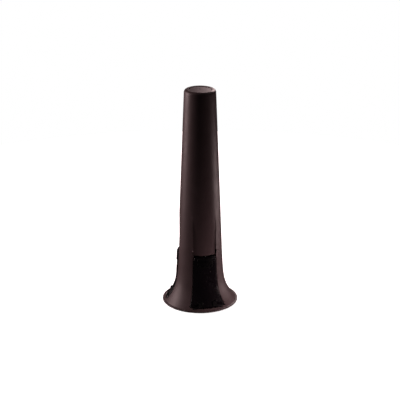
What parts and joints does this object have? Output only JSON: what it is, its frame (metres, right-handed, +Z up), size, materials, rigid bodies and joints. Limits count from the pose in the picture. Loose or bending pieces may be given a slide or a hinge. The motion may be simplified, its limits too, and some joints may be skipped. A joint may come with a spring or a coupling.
{
  "type": "trumpet stand",
  "caption": "Tall hollow tapered cone with a closed top and a flared round foot; curved legs fold flush into windows in the foot and swing out to the floor.",
  "frame": {"origin": "centre of the circle that the stand rests on, on the floor", "axes": "+Z up along the cone's axis; -Y out through the middle of the first leg's window"},
  "size_m": [0.0584, 0.0584, 0.17],
  "materials": {
    "cone_plastic": "satin moulded black plastic, faintly warm",
    "leg_plastic": "darker, smoother moulded black plastic",
    "soft_rubber": "matt soft rubber",
    "blackened_steel": "blackened steel, faintly oiled",
    "black_nylon": "smooth black nylon"
  },
  "bodies": {
    "stand": {"cone_body": "cone_plastic", "top_cap": "cone_plastic", "floor_ring": "soft_rubber", "hinge_pin_a": "blackened_steel", "hinge_bracket_a": "cone_plastic", "friction_washers_a": "black_nylon", "bracket_screws_a": "blackened_steel", "hinge_pin_b": "blackened_steel", "hinge_bracket_b": "cone_plastic", "friction_washers_b": "black_nylon", "bracket_screws_b": "blackened_steel", "hinge_pin_c": "blackened_steel", "hinge_bracket_c": "cone_plastic", "friction_washers_c": "black_nylon", "bracket_screws_c": "blackened_steel"},
    "leg_a": {"leg_a": "leg_plastic", "foot_pad_a": "soft_rubber"},
    "leg_b": {"leg_b": "leg_plastic", "foot_pad_b": "soft_rubber"},
    "leg_c": {"leg_c": "leg_plastic", "foot_pad_c": "soft_rubber"}
  },
  "joints": [
    {"name": "leg_a_swing", "type": "hinge", "parent": "stand", "child": "leg_a", "pos_m": [0, -0.0232, 0.0048], "axis": [1, 0, 0], "range_deg": [0, 105.5]},
    {"name": "leg_b_swing", "type": "hinge", "parent": "stand", "child": "leg_b", "pos_m": [0.02009, 0.0116, 0.0048], "axis": [-0.5, 0.866, 0], "range_deg": [0, 105.5]},
    {"name": "leg_c_swing", "type": "hinge", "parent": "stand", "child": "leg_c", "pos_m": [-0.02009, 0.0116, 0.0048], "axis": [-0.5, -0.866, 0], "range_deg": [0, 105.5]}
  ]
}
